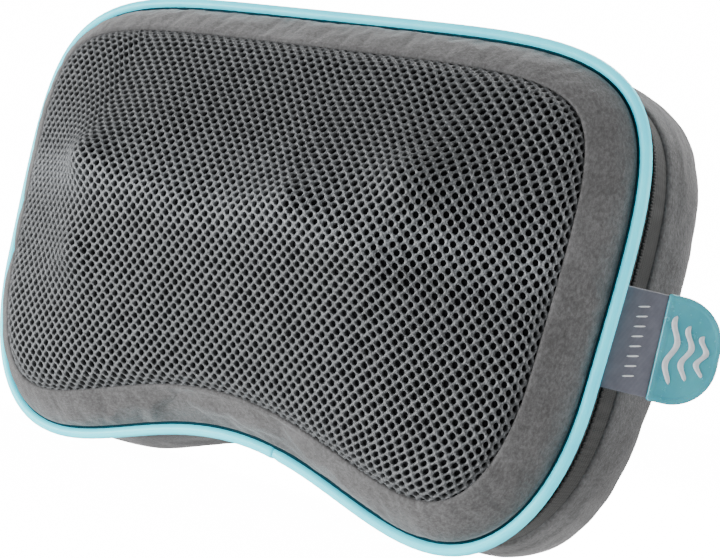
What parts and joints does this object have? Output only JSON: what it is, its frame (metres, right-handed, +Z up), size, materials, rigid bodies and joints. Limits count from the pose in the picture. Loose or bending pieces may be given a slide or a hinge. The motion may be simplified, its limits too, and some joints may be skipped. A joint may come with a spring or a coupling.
{
  "type": "shiatsu neck massager",
  "caption": "Bean-shaped shiatsu neck massage pillow: domed mesh face over rotating gel nodes, suede border and back, aqua piping, zipped side band and gel tab.",
  "frame": {"origin": "on the surface it stands on, under the centre of the whole object's bounding box, side tab included", "axes": "+Z up the pillow's height as it stands on its two lower lobes, -Y the way the massage face looks, +X towards the side tab"},
  "size_m": [0.4004, 0.135, 0.2445],
  "materials": {
    "mesh": "open spacer mesh, dark charcoal",
    "lining": "thin black knitted lining",
    "suede": "grey microsuede with a short nap",
    "piping": "pale aqua satin-covered cord",
    "zipper_tape": "dark charcoal woven zipper tape",
    "zipper_teeth": "black nylon coil",
    "zipper_metal": "black enamelled zinc",
    "tag": "grey satin label ribbon, plain",
    "gel": "translucent teal moulded gel",
    "foam": "grey polyurethane foam",
    "chassis": "black textured ABS",
    "bronze": "sintered bronze",
    "steel": "turned steel",
    "acetal": "white acetal",
    "arm": "black glass-filled nylon",
    "core": "pale grey ABS",
    "node_gel": "soft teal gel",
    "magnet": "ferrite",
    "rotor": "laminated steel with copper",
    "motor": "zinc-plated pressed steel",
    "control": "fine-textured dark grey ABS",
    "button": "pale aqua gloss button",
    "board": "green circuit board",
    "lens": "clear light pipe"
  },
  "bodies": {
    "pillow": {"mesh_panel": "mesh", "mesh_lining": "lining", "front_border": "suede", "piping": "piping", "zipper_tape_front": "zipper_tape", "zipper_tape_back": "zipper_tape", "zipper_coil": "zipper_teeth", "back_cover": "suede", "side_tag": "tag", "gel_tab": "gel", "front_foam": "foam", "rear_foam": "foam", "chassis_rear": "chassis", "chassis_front": "chassis", "chassis_screws": "steel", "front_bushes": "bronze", "rear_bushes": "bronze", "worm_bushes": "bronze", "motor_can": "motor", "motor_end_caps": "chassis", "motor_bearings": "bronze", "motor_magnets": "magnet", "motor_straps": "motor", "motor_screws": "steel", "control_housing": "control", "control_board": "board", "push_switch": "chassis", "indicator_lens": "lens", "power_socket": "chassis", "control_lid": "control"},
    "left_head": {"worm_wheel_left": "acetal", "head_shaft_left": "steel", "head_arm_left": "arm", "node_cores_left": "core", "gel_caps_left": "node_gel", "node_screws_left": "steel", "shaft_ring_left": "steel"},
    "right_head": {"worm_wheel_right": "acetal", "head_shaft_right": "steel", "head_arm_right": "arm", "node_cores_right": "core", "gel_caps_right": "node_gel", "node_screws_right": "steel", "shaft_ring_right": "steel"},
    "motor_drive": {"motor_shaft": "steel", "motor_rotor": "rotor", "worm_left": "steel", "worm_right": "steel"},
    "power_button": {"power_button": "button"},
    "zipper_slider": {"zipper_slider": "zipper_metal"},
    "zipper_pull": {"zipper_pull": "zipper_metal"}
  },
  "joints": [
    {"name": "left_head_spin", "type": "hinge", "parent": "pillow", "child": "left_head", "pos_m": [-0.08125, 0.02, 0.138], "axis": [0, 1, 0], "continuous": true},
    {"name": "right_head_spin", "type": "hinge", "parent": "pillow", "child": "right_head", "pos_m": [0.04275, 0.02, 0.138], "axis": [0, 1, 0], "continuous": true},
    {"name": "motor_spin", "type": "hinge", "parent": "pillow", "child": "motor_drive", "pos_m": [-0.01925, 0.02, 0.108], "axis": [1, 0, 0], "continuous": true},
    {"name": "power_button_press", "type": "slide", "parent": "pillow", "child": "power_button", "axis": [1, 0, 0], "range_m": [0, 0.0012], "stiffness_N_per_m": 200},
    {"name": "zipper_slide", "type": "slide", "parent": "pillow", "child": "zipper_slider", "axis": [0, 0, 1], "range_m": [-0.01, 0.01]},
    {"name": "zipper_pull_swing", "type": "hinge", "parent": "zipper_slider", "child": "zipper_pull", "pos_m": [-0.19763, 0.005, 0.15953], "axis": [0, 1, 0], "range_deg": [0, 150]}
  ],
  "couplings": [
    {"joint": "right_head_spin", "follows": "left_head_spin", "ratio": -1},
    {"joint": "motor_spin", "follows": "left_head_spin", "ratio": -40}
  ]
}
